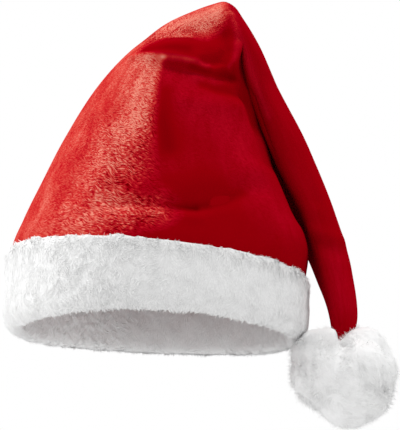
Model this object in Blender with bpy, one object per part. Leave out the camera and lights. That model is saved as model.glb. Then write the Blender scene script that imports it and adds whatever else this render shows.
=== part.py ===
"""Santa hat: a plush crown whose long point folds over and hangs down, a doubled fur band and a pompom.

Metres, +Z up. X runs across the hat, from the plain side to the side where the tail hangs, and Y from
front to back. The origin is the middle of the head opening, level with the band's lower edge.
"""

import math
from collections import namedtuple

import bmesh
import bpy
import numpy as np
from mathutils import Matrix, Vector

MM = 0.001

# Points round the crown's sections and round the band, which share them so that the hem fits its slot
AROUND = 48

# Crown cloth
CLOTH_THICKNESS = 2.2 * MM
HEM_DEPTH = 12 * MM

# Band. Its lower edge is lowest at its two sides, arches up in front and behind, and is highest behind.
BAND_LOWEST = -4 * MM
BAND_ARCH = 4 * MM
BAND_BACK_RISE = 1 * MM
SLOT_CLEARANCE = 0.4 * MM
INNER_LIP_DEPTH = 2.4 * MM

# One row for each corner of the doubled strip's outline, in millimetres: out is measured from the crown's
# outer face, up_from_foot from the lower edge and down_from_top from the upper edge. The roll is the
# quarter oval between the outer face and the fold at the foot.
Corner = namedtuple("Corner", "name out down_from_top up_from_foot", defaults=(None,))
BAND_OUTER_FACE = (
    Corner("slot_lip", SLOT_CLEARANCE / MM, 1.2),
    Corner("top_edge", 1.6, 0),
    Corner("top_round", 2.6, 1.4),
    Corner("shoulder", 3.2, 6),
    Corner("bulge", 3.6, None, 25),
)
BAND_INNER_FACE = (
    Corner("foot_round", -10, None, 1.2),
    Corner("foot_inside", -10.8, None, 4),
    Corner("inner_bulge", -11.2, None, 24),
    Corner("inner_shoulder", -10.2, 6),
    Corner("inner_round", -7.8, 2.4),
    Corner("inner_top", -4.6, 1.4),
)
ROLL_OUT = 3.2 * MM
ROLL_FOOT = -8.3 * MM
ROLL_HEIGHT = 13 * MM
ROLL_STEPS = 5

# Pompom
POMPOM_CENTRE = Vector((121.5, -26, -24.8)) * MM
POMPOM_HALF_SIZE = Vector((36.5, 35, 34.5)) * MM
POMPOM_NARROWING = 0.1
POMPOM_LEAN = 4 * MM
POMPOM_LOCKS = 28
CORE_SHARE = 0.8
CORE_SEGMENTS = 16
LOCK_SEGMENTS = 10
LOCK_RADIUS = 13 * MM
LOCK_LENGTH = 15 * MM
LOCK_VARIATION = 0.04
LOCK_PHASE = 2.4
SOCKET_CLEARANCE = 0.4 * MM
SOCKET_RINGS = 7

# One row for each section of the crown, from the hem over the fold to the end of the tail, in millimetres.
# outer is the section's end on the long outline and inner its end on the crease side, both in the XZ plane.
# half_depth is its reach in Y and mid_y the middle of that. drop and bow say how far its front and back ends
# lie below its middle and towards the plain side, and DROOP_POWER how suddenly they do. rings counts the
# steps up to the next row.
DROOP_POWER = 2.5
Section = namedtuple(
    "Section",
    "name outer_x outer_z inner_x inner_z half_depth mid_y drop bow rings",
)
CROWN_SECTIONS = (
    Section("hem", -98.4, 38, 98.6, 26.5, 105.5, 0, 2, 0, 1),
    Section("band_edge", -98.4, 50, 98.6, 38.5, 105.5, 0, 2, 0, 2),
    Section("low_bulge", -92.5, 70, 102.5, 56, 102, 0, 2, 0, 2),
    Section("low_body", -81.5, 97, 93, 86, 95, 0, 1, 0, 3),
    Section("mid_body", -68.5, 127, 80, 116, 88, 0, 1, 0, 3),
    Section("high_body", -50.5, 159, 67, 147, 82, 0, 4, 0, 3),
    Section("shoulder", -27, 187, 56.5, 175, 77, 0, 10, 1, 3),
    Section("under_fold", -3.5, 208, 49, 195, 72, 0, 15, 2, 2),
    Section("fold_start", 18, 220.3, 43.5, 208, 68, 0, 18, 3, 2),
    Section("fold_rise", 30, 225.8, 40.5, 214.5, 66, 0, 19, 3, 1),
    Section("fold_ridge", 38.5, 227.8, 41, 217.5, 64.5, 0, 19, 3, 1),
    Section("fold_turn", 46, 225, 42.5, 217, 63.5, 0, 19, 3, 1),
    Section("fold_end", 51.8, 217, 44.5, 212.5, 62.5, 0, 18, 3, 2),
    Section("tail_top", 61.8, 199.8, 50.5, 194, 61, 0, 16, 4, 2),
    Section("tail_high", 77.8, 172.3, 62.5, 165.5, 55, 8, 13, 6, 3),
    Section("tail_mid", 101, 131, 80, 122, 44, 10, 6, 6, 3),
    Section("tail_low", 118.3, 86, 98, 80, 31, 2, 2, 3, 2),
    Section("tail_neck", 129, 46, 107, 43, 19, -12, 0, 2, 2),
    Section("tail_end", 132, 14, 114, 12, 10.5, -24, 0, 0, 1),
    Section("tip", 128.5, -1, 117.5, -1.5, 7, -26, 0, 0, 1),
)

# One row for each main dent and fold of the cloth, as a line seen from the front, in millimetres.
# side is -1 on the front face and 1 on the back. rise is how far the cloth stands out, or is pushed in
# if negative, and width how far from the line that fades to a third.
Fold = namedtuple("Fold", "name side from_x from_z to_x to_z rise width")
BODY_FOLDS = (
    Fold("brow_ridge", -1, -12, 173, 24, 173, 3.0, 8),
    Fold("brow_dent", -1, -8, 184, 26, 189, -3.5, 10),
    Fold("under_brow", -1, 4, 161, 42, 158, -3.5, 10),
    Fold("flank_ridge", -1, -5, 160, -14, 104, 3.0, 15),
    Fold("front_edge", -1, 36, 205, 44, 174, 2.5, 8),
    Fold("pushed_in", -1, 52, 172, 66, 140, -5.0, 10),
    Fold("front_bulge", -1, 40, 125, 52, 98, 3.0, 20),
    Fold("waist_crease", -1, 20, 68, 60, 84, -2.5, 8),
    Fold("low_crease", -1, -38, 66, 8, 64, -2.0, 7),
    Fold("back_drape", 1, 46, 190, 18, 118, -5.0, 14),
    Fold("back_ridge", 1, 8, 186, -22, 110, 3.5, 16),
    Fold("back_brow", 1, -30, 172, 12, 178, -3.5, 11),
    Fold("back_waist", 1, -28, 76, 34, 88, -3.0, 10),
)
TAIL_FOLDS = (
    Fold("tail_crease", -1, 100, 62, 118, 56, -1.5, 6),
    Fold("tail_hollow", 1, 84, 152, 104, 108, -2.0, 9),
)
# A fold has its full rise where the cloth's normal points at least this much to the front or back
FULLY_FACING = 0.35


def add_material(name, colour, roughness, sheen):
    """A cloth or fur finish as a Principled BSDF."""
    material = bpy.data.materials.new(name)
    material.use_nodes = True
    shader = material.node_tree.nodes["Principled BSDF"]
    shader.inputs["Base Color"].default_value = (*colour, 1.0)
    shader.inputs["Roughness"].default_value = roughness
    shader.inputs["Metallic"].default_value = 0.0
    shader.inputs["Sheen Weight"].default_value = sheen
    return material


def clear_scene():
    for leftover in list(bpy.data.objects):
        bpy.data.objects.remove(leftover, do_unlink=True)


def add_collection(name, shown=True):
    collection = bpy.data.collections.new(name)
    collection.hide_render = not shown
    bpy.context.scene.collection.children.link(collection)
    return collection


def add_mesh_object(name, vertices, faces, collection, material=None):
    mesh = bpy.data.meshes.new(name)
    mesh.from_pydata([tuple(v) for v in vertices], [], [tuple(f) for f in faces])
    mesh.validate()
    if material:
        mesh.materials.append(material)
    mesh.shade_smooth()
    piece = bpy.data.objects.new(name, mesh)
    collection.objects.link(piece)
    return piece


def section_columns():
    """The table's numbers as an array in metres, one row for each section."""
    rows = []
    for section in CROWN_SECTIONS:
        long_side = [section.outer_x, section.outer_z]
        crease_side = [section.inner_x, section.inner_z]
        rows.append(long_side + crease_side + [section.half_depth, section.mid_y, section.drop, section.bow])
    return np.array(rows, float) * MM


def ring_positions():
    """Where the rings lie along the crown, counted in table rows."""
    places = []
    for index, section in enumerate(CROWN_SECTIONS[:-1]):
        places += [index + step / section.rings for step in range(section.rings)]
    return np.array(places + [len(CROWN_SECTIONS) - 1.0])


def interpolate_rows(columns, places):
    """A smooth curve through each column, a cubic between rows with slopes that never overshoot."""
    chords = np.diff(columns[:, :4], axis=0)
    lengths = np.hypot(chords[:, 0], chords[:, 1]) + np.hypot(chords[:, 2], chords[:, 3])
    knots = np.concatenate([[0.0], np.cumsum(lengths)])
    steps = np.diff(knots)[:, None]
    secants = np.diff(columns, axis=0) / steps
    before, after = secants[:-1], secants[1:]
    same_way = before * after > 0
    total = np.where(same_way, before + after, 1.0)
    slopes = np.zeros_like(columns)
    slopes[1:-1] = np.where(same_way, 2 * before * after / total, 0.0)
    slopes[0], slopes[-1] = secants[0], secants[-1]
    row = np.minimum(places.astype(int), len(columns) - 2)
    share = (places - row)[:, None]
    gap = steps[row]
    start, end = columns[row], columns[row + 1]
    return (
        (1 + 2 * share) * (1 - share) ** 2 * start
        + share * (1 - share) ** 2 * gap * slopes[row]
        + share**2 * (3 - 2 * share) * end
        - share**2 * (1 - share) * gap * slopes[row + 1]
    )


def flattened(sine):
    """Pushes a section's points towards its ends, which keeps them round when the section is thin."""
    return sine * (3 - sine**2) / 2


def droop_share(sine):
    """How much of a section's droop its points have, from none in its middle to all of it at its ends."""
    return abs(flattened(sine)) ** DROOP_POWER


def smooth_surface(places, swell=0.0):
    """The crown without its dents: each section is an oval, flattened where it is thin, whose ends droop."""
    values = interpolate_rows(section_columns(), places)
    outer_x, outer_z, inner_x, inner_z, half_depth, mid_y, drop, bow = values.T[:, :, None]
    angle = np.linspace(0, 2 * math.pi, AROUND, endpoint=False)[None, :]
    cosine, sine = np.cos(angle), np.sin(angle)
    half_x, half_z = (inner_x - outer_x) / 2, (inner_z - outer_z) / 2
    half_thickness = np.hypot(half_x, half_z)
    growth = 1 + swell / half_thickness
    droop = droop_share(sine)
    x = (outer_x + inner_x) / 2 + half_x * growth * cosine - bow * droop
    z = (outer_z + inner_z) / 2 + half_z * growth * cosine - drop * droop
    flat_part = half_depth - half_thickness
    y = mid_y + (half_thickness + swell) * sine + flat_part * flattened(sine)
    return np.stack([x, y, z], axis=-1)


def surface_normals(grid):
    """Unit normals of a grid of rings, from the differences along it and round it."""
    along = np.gradient(grid, axis=0)
    around = np.roll(grid, -1, axis=1) - np.roll(grid, 1, axis=1)
    normals = np.cross(around, along)
    return normals / np.linalg.norm(normals, axis=-1, keepdims=True)


def fold_rise(grid, normals, folds):
    """How far each point stands out: for each fold, a bell curve of its distance from the fold's line."""
    seen = grid[..., [0, 2]] / MM
    rise = np.zeros(grid.shape[:2])
    for fold in folds:
        start = np.array([fold.from_x, fold.from_z])
        line = np.array([fold.to_x, fold.to_z]) - start
        share = np.clip((seen - start) @ line / (line @ line), 0, 1)
        distance = np.linalg.norm(seen - start - share[..., None] * line, axis=-1)
        facing = np.clip(fold.side * normals[..., 1] / FULLY_FACING, 0, 1)
        rise += fold.rise * MM * facing * np.exp(-((distance / fold.width) ** 2))
    return rise


def crown_surface(places, swell=0.0):
    """Points of the crown's outer face, or of one further out by swell: rings by points round.

    Both take the outer face's folds, so the cloth keeps its thickness there.
    """
    outer_face = smooth_surface(places)
    normals = surface_normals(outer_face)
    names = [section.name for section in CROWN_SECTIONS]
    on_body = (places < names.index("fold_ridge"))[:, None]
    rise = np.where(
        on_body,
        fold_rise(outer_face, normals, BODY_FOLDS),
        fold_rise(outer_face, normals, TAIL_FOLDS),
    )
    return smooth_surface(places, swell) + rise[..., None] * normals


def loft_faces(rings, around):
    """Quads between neighbouring rings, facing out when rings run up and their points anticlockwise."""
    faces = []
    for ring in range(rings - 1):
        for point in range(around):
            beside = (point + 1) % around
            low, high = ring * around, (ring + 1) * around
            faces.append((low + point, low + beside, high + beside, high + point))
    return faces


def closed_loft(name, grid, collection, material=None):
    """A closed solid from a grid of rings, its two ends filled by a fan of triangles each."""
    vertices = grid.reshape(-1, 3).tolist()
    vertices += [grid[0].mean(axis=0).tolist(), grid[-1].mean(axis=0).tolist()]
    faces = loft_faces(len(grid), AROUND)
    last_ring = (len(grid) - 1) * AROUND
    first_middle, last_middle = len(vertices) - 2, len(vertices) - 1
    for point in range(AROUND):
        beside = (point + 1) % AROUND
        faces.append((beside, point, first_middle))
        faces.append((last_ring + point, last_ring + beside, last_middle))
    return add_mesh_object(name, vertices, faces, collection, material)


def build_crown(collection, material):
    """The hollow cloth cone: a loft from the closed end of its hollow down to the hem and up outside."""
    outside = ring_positions()
    inside = outside[outside <= len(CROWN_SECTIONS) - 2]
    inner_face = crown_surface(inside, -CLOTH_THICKNESS)[::-1]
    outer_face = crown_surface(outside)
    grid = np.concatenate([inner_face, outer_face])
    return closed_loft("crown", grid, collection, material)


def place_corners(corners, height):
    """The table's corners as distance out from the crown's face and height above the lower edge."""
    points = []
    for corner in corners:
        if corner.up_from_foot is None:
            up = height - corner.down_from_top * MM
        else:
            up = corner.up_from_foot * MM
        points.append((corner.out * MM, up))
    return points


def roll_points():
    """The quarter oval that joins the outer face to the fold at the foot."""
    points = []
    for step in range(ROLL_STEPS + 1):
        turn = math.pi / 2 * step / ROLL_STEPS
        out = ROLL_FOOT + (ROLL_OUT - ROLL_FOOT) * math.cos(turn)
        points.append((out, ROLL_HEIGHT * (1 - math.sin(turn))))
    return points


def slot_points(height):
    """The slot that holds the crown's hem, from its inner lip down to its floor and out to its outer wall."""
    inside = -CLOTH_THICKNESS - SLOT_CLEARANCE
    floor = height - HEM_DEPTH - SLOT_CLEARANCE
    return [(inside, height - INNER_LIP_DEPTH), (inside, floor), (SLOT_CLEARANCE, floor)]


def band_profile(height):
    """The doubled strip's whole outline at a place where it is this high."""
    outer_face = place_corners(BAND_OUTER_FACE, height)
    inner_face = place_corners(BAND_INNER_FACE, height)
    return outer_face + roll_points() + inner_face + slot_points(height)


def band_edges(turn):
    """Heights of the band's lower and upper edge at one place round it; a turn of 0 is the tail side."""
    edge = CROWN_SECTIONS[1]
    sine = math.sin(turn)
    share = (1 + math.cos(turn)) / 2
    upper = edge.outer_z + (edge.inner_z - edge.outer_z) * share - edge.drop * droop_share(sine)
    lower = BAND_LOWEST + BAND_ARCH * sine**2 + BAND_BACK_RISE * sine
    return lower, upper * MM


def build_band(collection, material):
    """The doubled fur strip: one closed ring whose slot holds the crown's hem."""
    hem = smooth_surface(np.array([0.0]))[0]
    ahead, behind = np.roll(hem, -1, axis=0), np.roll(hem, 1, axis=0)
    along = (ahead - behind)[:, :2]
    outward = np.stack([along[:, 1], -along[:, 0]], axis=-1)
    outward /= np.linalg.norm(outward, axis=1)[:, None]
    vertices = []
    count = len(band_profile(0.0))
    for point in range(AROUND):
        lower, upper = band_edges(2 * math.pi * point / AROUND)
        for distance, height in band_profile(upper - lower):
            x, y = hem[point, :2] + outward[point] * distance
            vertices.append((x, y, lower + height))
    faces = []
    for point in range(AROUND):
        here, there = point * count, (point + 1) % AROUND * count
        for corner in range(count):
            after = (corner + 1) % count
            faces.append((here + corner, here + after, there + after, there + corner))
    return add_mesh_object("band", vertices, faces, collection, material)


def spread_directions(count):
    """Directions spread evenly over a sphere, on a spiral of golden-angle steps."""
    golden = math.pi * (3 - math.sqrt(5))
    directions = []
    for index in range(count):
        height = 1 - 2 * (index + 0.5) / count
        radius = math.sqrt(1 - height**2)
        turn = golden * index
        directions.append(Vector((radius * math.cos(turn), radius * math.sin(turn), height)))
    return directions


def add_ball(name, segments, collection, matrix):
    """A sphere primitive with a matrix applied to its mesh."""
    mesh = bpy.data.meshes.new(name)
    shape = bmesh.new()
    bmesh.ops.create_uvsphere(shape, u_segments=segments, v_segments=segments // 2 + 1, radius=1.0)
    bmesh.ops.transform(shape, matrix=matrix, verts=shape.verts)
    shape.to_mesh(mesh)
    shape.free()
    ball = bpy.data.objects.new(name, mesh)
    collection.objects.link(ball)
    return ball


def mark_as_helper(shape):
    shape.hide_render = True
    shape.display_type = "WIRE"


def apply_boolean(target, operation, cutter):
    """Runs one Boolean and stores its result in the target's mesh."""
    step = target.modifiers.new(operation.lower(), "BOOLEAN")
    step.operation = operation
    step.object = cutter
    step.solver = "EXACT"
    graph = bpy.context.evaluated_depsgraph_get()
    result = bpy.data.meshes.new_from_object(target.evaluated_get(graph))
    target.modifiers.clear()
    target.data = result


def add_tail_socket(helpers):
    """A cutter shaped like the crown's last two sections, grown by the clearance that the socket needs."""
    last = len(CROWN_SECTIONS) - 1.0
    grid = crown_surface(np.linspace(last - 2, last, SOCKET_RINGS), SOCKET_CLEARANCE)
    grid[..., 2] -= SOCKET_CLEARANCE
    socket = closed_loft("tail_socket", grid, helpers)
    mark_as_helper(socket)
    return socket


def pompom_point(direction, share=1.0):
    """A point of the pompom's outline: a ball that narrows towards its foot and leans to the outer side."""
    below = (1 - direction.z) / 2
    narrowing = 1 - POMPOM_NARROWING * below
    offset = direction * POMPOM_HALF_SIZE
    offset = Vector((offset.x * narrowing, offset.y * narrowing, offset.z))
    lean = Vector((POMPOM_LEAN * below, 0, 0))
    return POMPOM_CENTRE + offset * share + lean


def build_pompom(collection, helpers, material):
    """A core ball with blunt fur locks fused to it, and a socket that the tail's point sits in."""
    core_size = Matrix.Diagonal((*(POMPOM_HALF_SIZE * CORE_SHARE), 1.0))
    middle = Matrix.Translation(POMPOM_CENTRE + Vector((POMPOM_LEAN / 2, 0, 0)))
    pompom = add_ball("pompom", CORE_SEGMENTS, collection, middle @ core_size)
    for index, direction in enumerate(spread_directions(POMPOM_LOCKS)):
        tip = pompom_point(direction, 1.0 + LOCK_VARIATION * math.sin(LOCK_PHASE * index))
        turn = direction.to_track_quat("Z", "Y").to_matrix().to_4x4()
        size = Matrix.Diagonal((LOCK_RADIUS, LOCK_RADIUS, LOCK_LENGTH, 1.0))
        place = Matrix.Translation(tip - direction * LOCK_LENGTH)
        lock = add_ball(f"lock_{index}", LOCK_SEGMENTS, helpers, place @ turn @ size)
        mark_as_helper(lock)
        apply_boolean(pompom, "UNION", lock)
    apply_boolean(pompom, "DIFFERENCE", add_tail_socket(helpers))
    pompom.data.materials.append(material)
    pompom.data.shade_smooth()
    return pompom


def main():
    clear_scene()
    parts = add_collection("santa_hat")
    helpers = add_collection("cutters", shown=False)
    plush = add_material("red_plush", (0.42, 0.004, 0.012), 0.7, 0.6)
    band_fur = add_material("white_fur_band", (0.85, 0.85, 0.84), 0.9, 0.3)
    pompom_fur = add_material("white_fur_pompom", (0.85, 0.85, 0.84), 0.95, 0.3)
    build_crown(parts, plush)
    build_band(parts, band_fur)
    build_pompom(parts, helpers, pompom_fur)


main()
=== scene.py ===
"""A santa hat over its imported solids: red plush crown folded over to one side, white fur band and pompom."""

from collections import namedtuple

import bpy
import numpy as np
from mathutils import Matrix, Vector


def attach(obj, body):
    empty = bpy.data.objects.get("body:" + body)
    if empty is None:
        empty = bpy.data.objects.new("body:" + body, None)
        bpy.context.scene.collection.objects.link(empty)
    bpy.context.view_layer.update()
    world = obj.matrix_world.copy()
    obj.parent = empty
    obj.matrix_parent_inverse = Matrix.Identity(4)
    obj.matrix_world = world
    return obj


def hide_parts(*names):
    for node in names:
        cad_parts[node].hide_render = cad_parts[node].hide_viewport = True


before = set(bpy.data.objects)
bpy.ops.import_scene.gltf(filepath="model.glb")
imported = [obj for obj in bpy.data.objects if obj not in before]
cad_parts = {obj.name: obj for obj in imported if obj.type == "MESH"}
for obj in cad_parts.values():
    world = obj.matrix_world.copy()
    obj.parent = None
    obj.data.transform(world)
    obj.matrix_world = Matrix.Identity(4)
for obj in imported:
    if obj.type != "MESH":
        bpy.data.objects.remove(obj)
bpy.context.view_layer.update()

# The crown is one long cone of short-pile plush, cut and sewn from a sheet. Its hem is held in the band, and
# its long point is folded over near the top and hangs down the right-hand side.

# Sections are in metres. outer is the end on the long outline and inner the end on the crease side.
# half_depth is the reach from mid_y to the front and to the back, which sag down by drop and to the left by
# bow. squared goes from 0, an oval, to 1, flat sides.
Section = namedtuple("Section", "outer_x outer_z inner_x inner_z half_depth mid_y drop bow squared")
crown_sections = {
    "hem": Section(-0.0984, 0.038, 0.0986, 0.0265, 0.1055, 0, 0.002, 0, 0),
    "band_edge": Section(-0.0984, 0.050, 0.0992, 0.0385, 0.1055, 0, 0.002, 0, 0),
    "low_bulge": Section(-0.0925, 0.070, 0.1010, 0.056, 0.102, 0, 0.002, 0, 0),
    "low_body": Section(-0.0815, 0.097, 0.0880, 0.086, 0.095, 0, 0.001, 0, 0),
    "mid_body": Section(-0.0685, 0.127, 0.0752, 0.116, 0.088, 0, 0.001, 0, 0),
    "high_body": Section(-0.0505, 0.159, 0.0680, 0.147, 0.082, 0, 0.004, 0, 0.3),
    "shoulder": Section(-0.027, 0.187, 0.0580, 0.175, 0.077, 0, 0.010, 0.001, 0.7),
    "under_fold": Section(-0.0035, 0.208, 0.0532, 0.187, 0.072, 0, 0.012, 0.001, 0.9),
    "fold_start": Section(0.018, 0.2206, 0.0495, 0.1935, 0.068, 0, 0.014, 0.001, 1),
    "fold_rise": Section(0.029, 0.2262, 0.0487, 0.1960, 0.066, 0, 0.015, 0.001, 0.9),
    "fold_ridge": Section(0.0372, 0.2288, 0.0487, 0.1970, 0.0645, 0, 0.015, 0.001, 0.9),
    "fold_turn": Section(0.0436, 0.2260, 0.0490, 0.1968, 0.0635, 0, 0.015, 0.001, 0.9),
    "fold_end": Section(0.0500, 0.217, 0.0492, 0.1945, 0.0625, 0, 0.014, 0.001, 0.9),
    "tail_top": Section(0.0612, 0.1998, 0.0498, 0.187, 0.061, 0, 0.013, 0.002, 0.9),
    "tail_high": Section(0.0778, 0.1723, 0.0585, 0.1655, 0.055, 0.008, 0.013, 0.005, 1),
    "tail_mid": Section(0.101, 0.131, 0.0768, 0.122, 0.044, 0.010, 0.006, 0.006, 1),
    "tail_low": Section(0.1183, 0.086, 0.0962, 0.080, 0.031, 0.002, 0.002, 0.003, 1),
    "tail_neck": Section(0.129, 0.046, 0.107, 0.043, 0.019, -0.012, 0, 0.002, 0.8),
    "tail_end": Section(0.132, 0.014, 0.114, 0.012, 0.0105, -0.024, 0, 0, 0.5),
    "tip": Section(0.1285, -0.005, 0.1165, -0.0055, 0.007, -0.026, 0, 0, 0.5),
}
crown_table = np.array(list(crown_sections.values()))
crown_places = {name: place for place, name in enumerate(crown_sections)}

# Folds and dents as lines seen from the front, from corner to corner in X and Z. side is -1 on the front
# and 1 on the back, rise how far the cloth stands out of its smooth form, and width how far off that fades
# to a third. A fold shows in full where the cloth faces its side by fully_facing or more.
Fold = namedtuple("Fold", "side rise width line")
body_folds = {
    "brow_ridge": Fold(-1, 0.0030, 0.008, [(-0.012, 0.173), (0.024, 0.173)]),
    "brow_dent": Fold(-1, -0.0035, 0.010, [(-0.008, 0.184), (0.026, 0.189)]),
    "under_brow": Fold(-1, -0.0035, 0.010, [(0.004, 0.161), (0.042, 0.158)]),
    "flank_ridge": Fold(-1, 0.0030, 0.015, [(-0.005, 0.160), (-0.014, 0.104)]),
    "front_edge": Fold(-1, 0.0025, 0.008, [(0.036, 0.205), (0.044, 0.174)]),
    "pushed_in": Fold(-1, -0.0050, 0.010, [(0.052, 0.172), (0.066, 0.140)]),
    "front_bulge": Fold(-1, 0.0030, 0.020, [(0.040, 0.125), (0.052, 0.098)]),
    "waist_crease": Fold(-1, -0.0025, 0.008, [(0.020, 0.068), (0.060, 0.084)]),
    "low_crease": Fold(-1, -0.0020, 0.007, [(-0.038, 0.066), (0.008, 0.064)]),
    "back_drape": Fold(1, -0.0050, 0.014, [(0.046, 0.190), (0.018, 0.118)]),
    "back_ridge": Fold(1, 0.0035, 0.016, [(0.008, 0.186), (-0.022, 0.110)]),
    "back_brow": Fold(1, -0.0035, 0.011, [(-0.030, 0.172), (0.012, 0.178)]),
    "back_waist": Fold(1, -0.0030, 0.010, [(-0.028, 0.076), (0.034, 0.088)]),
}
tail_folds = {
    "tail_crease": Fold(-1, -0.0015, 0.006, [(0.100, 0.062), (0.118, 0.056)]),
    "tail_hollow": Fold(1, -0.0020, 0.009, [(0.084, 0.152), (0.104, 0.108)]),
}
wrinkles = {
    "brow_line": Fold(-1, 0.0026, 0.0030, [
        (-0.022, 0.1700), (-0.0112, 0.1680), (0.0030, 0.1680), (0.0115, 0.1670), (0.0185, 0.1655),
        (0.0260, 0.1636),
    ]),
    "fold_hook": Fold(-1, 0.0030, 0.0034, [
        (0.0300, 0.1610), (0.0385, 0.1643), (0.0433, 0.1712), (0.0446, 0.1778), (0.0453, 0.1865),
        (0.0439, 0.1946), (0.0417, 0.2021), (0.0392, 0.2110),
    ]),
    "hook_hollow": Fold(-1, -0.0028, 0.0035, [
        (0.0240, 0.1668), (0.0345, 0.1700), (0.0385, 0.1770), (0.0375, 0.1880),
    ]),
    "brow_foot": Fold(-1, -0.0026, 0.0038, [
        (0.000, 0.1630), (0.016, 0.1612), (0.030, 0.1580), (0.044, 0.1600),
    ]),
    "brow_hollow": Fold(-1, -0.0022, 0.0050, [
        (-0.019, 0.1735), (-0.004, 0.1750), (0.014, 0.1755), (0.026, 0.1740),
    ]),
    "first_sag": Fold(-1, 0.0014, 0.0042, [(0.020, 0.1565), (0.034, 0.1545), (0.048, 0.1575)]),
    "first_drop": Fold(-1, -0.0016, 0.0048, [
        (0.0216, 0.1512), (0.0321, 0.1482), (0.0442, 0.1480), (0.052, 0.152),
    ]),
    "sag_swell": Fold(-1, 0.0014, 0.0060, [(0.012, 0.138), (0.030, 0.136), (0.046, 0.140)]),
    "valley": Fold(-1, -0.0030, 0.0070, [(0.056, 0.150), (0.063, 0.130), (0.068, 0.112)]),
    "waist_pull": Fold(-1, -0.0014, 0.0045, [
        (0.008, 0.0640), (0.026, 0.0660), (0.040, 0.0720), (0.050, 0.0800),
    ]),
    "valley_crest": Fold(-1, 0.0022, 0.0080, [(0.060, 0.096), (0.066, 0.076), (0.074, 0.050)]),
    "hem_line": Fold(-1, -0.0013, 0.0026, [
        (-0.030, 0.0655), (0.004, 0.0655), (0.018, 0.0640), (0.030, 0.0660),
    ]),
    "hem_pleat": Fold(-1, 0.0010, 0.0040, [(-0.020, 0.0600), (0.004, 0.0590), (0.024, 0.0575)]),
    "flank_dip": Fold(-1, -0.0016, 0.0080, [(-0.052, 0.124), (-0.052, 0.094), (-0.056, 0.076)]),
    "flank_swell": Fold(-1, 0.0014, 0.0070, [(-0.040, 0.130), (-0.034, 0.104), (-0.036, 0.084)]),
    "tail_knee": Fold(-1, 0.0012, 0.0050, [(0.094, 0.070), (0.108, 0.066), (0.120, 0.064)]),
    "tail_fall": Fold(-1, -0.0014, 0.0060, [(0.070, 0.166), (0.088, 0.130), (0.104, 0.090)]),
    "back_line": Fold(1, 0.0018, 0.0045, [(-0.036, 0.150), (-0.010, 0.158), (0.016, 0.154), (0.036, 0.166)]),
    "back_sag": Fold(1, -0.0020, 0.0060, [(-0.024, 0.136), (0.000, 0.142), (0.024, 0.136)]),
    "back_hem": Fold(1, 0.0014, 0.0050, [(-0.060, 0.060), (-0.030, 0.066), (0.000, 0.060)]),
    "tail_back": Fold(1, 0.0014, 0.0060, [(0.070, 0.176), (0.088, 0.140), (0.098, 0.100)]),
}
fully_facing = 0.35
cloth_thickness = 0.0022
droop_power = 2.5

# Rings are closer by the brow, and the points of a ring are closer at the front, where the folds are finest.
crown_round = 300
crown_outer_rings = 300
crown_inner_rings = 32
brow_detail = 2.6
front_detail = 0.35


def row_lengths(table):
    """How far along the crown each section lies: the summed chords of its two outlines."""
    chords = np.diff(table[:, :4], axis=0)
    steps = np.hypot(chords[:, 0], chords[:, 1]) + np.hypot(chords[:, 2], chords[:, 3])
    return np.concatenate([[0.0], np.cumsum(steps)])


def between_rows(table, places):
    """Each column as a cubic between rows, whose slope there is the harmonic mean of the slopes beside it."""
    steps = np.diff(row_lengths(table))[:, None]
    secants = np.diff(table, axis=0) / steps
    before, after = secants[:-1], secants[1:]
    same_way = before * after > 0
    slopes = np.zeros_like(table)
    slopes[1:-1] = np.where(same_way, 2 * before * after / np.where(same_way, before + after, 1.0), 0.0)
    slopes[0], slopes[-1] = secants[0], secants[-1]
    row = np.minimum(places.astype(int), len(table) - 2)
    share = (places - row)[:, None]
    rise, fall = share**2 * (3 - 2 * share), (1 + 2 * share) * (1 - share) ** 2
    leaving, arriving = share * (1 - share) ** 2, share**2 * (1 - share)
    bend = steps[row] * (leaving * slopes[row] - arriving * slopes[row + 1])
    return fall * table[row] + rise * table[row + 1] + bend


def even_places(last, count):
    """Places from the hem to a section, in table rows, at even steps of cloth that are finer by the brow."""
    steps = np.diff(row_lengths(crown_table))
    steps[crown_places["high_body"] : crown_places["fold_ridge"]] *= brow_detail
    lengths = np.concatenate([[0.0], np.cumsum(steps)])
    return np.interp(np.linspace(0, lengths[last], count), lengths, np.arange(len(lengths)))


def smooth_crown(places, angles, swell=0.0):
    """Ovals between the two outlines, pushed out to their ends in Y, which droop by a power of that push.

    An angle of 0 is the crease side and a quarter turn the back. swell moves the whole surface out.
    """
    values = between_rows(crown_table, places)
    outer_x, outer_z, inner_x, inner_z, half_depth, mid_y, drop, bow, squared = values.T[:, :, None]
    cosine, sine = np.cos(angles)[None, :], np.sin(angles)[None, :]
    cosine = cosine * (1 + squared * sine**2 / 2)
    half_x, half_z = (inner_x - outer_x) / 2, (inner_z - outer_z) / 2
    half_thickness = np.hypot(half_x, half_z)
    growth = 1 + swell / half_thickness
    pushed = sine * (3 - sine**2) / 2
    droop = np.abs(pushed) ** droop_power
    x = (outer_x + inner_x) / 2 + half_x * growth * cosine - bow * droop
    z = (outer_z + inner_z) / 2 + half_z * growth * cosine - drop * droop
    y = mid_y + (half_thickness + swell) * sine + (half_depth - half_thickness) * pushed
    return np.stack([x, y, z], axis=-1)


def ring_normals(grid):
    """Unit normals of a grid of closed rings: the cross product of its steps round and along."""
    around = np.roll(grid, -1, axis=1) - np.roll(grid, 1, axis=1)
    normals = np.cross(around, np.gradient(grid, axis=0))
    return normals / np.linalg.norm(normals, axis=-1, keepdims=True)


def off_line(grid, line):
    """How far each point lies from a line of straight steps, both seen from the front."""
    seen, corners = grid[..., [0, 2]], np.array(line)
    nearest = np.full(seen.shape[:-1], np.inf)
    for start, way in zip(corners[:-1], np.diff(corners, axis=0)):
        share = np.clip((seen - start) @ way / (way @ way), 0, 1)[..., None]
        nearest = np.minimum(nearest, np.linalg.norm(seen - start - share * way, axis=-1))
    return nearest


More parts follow.
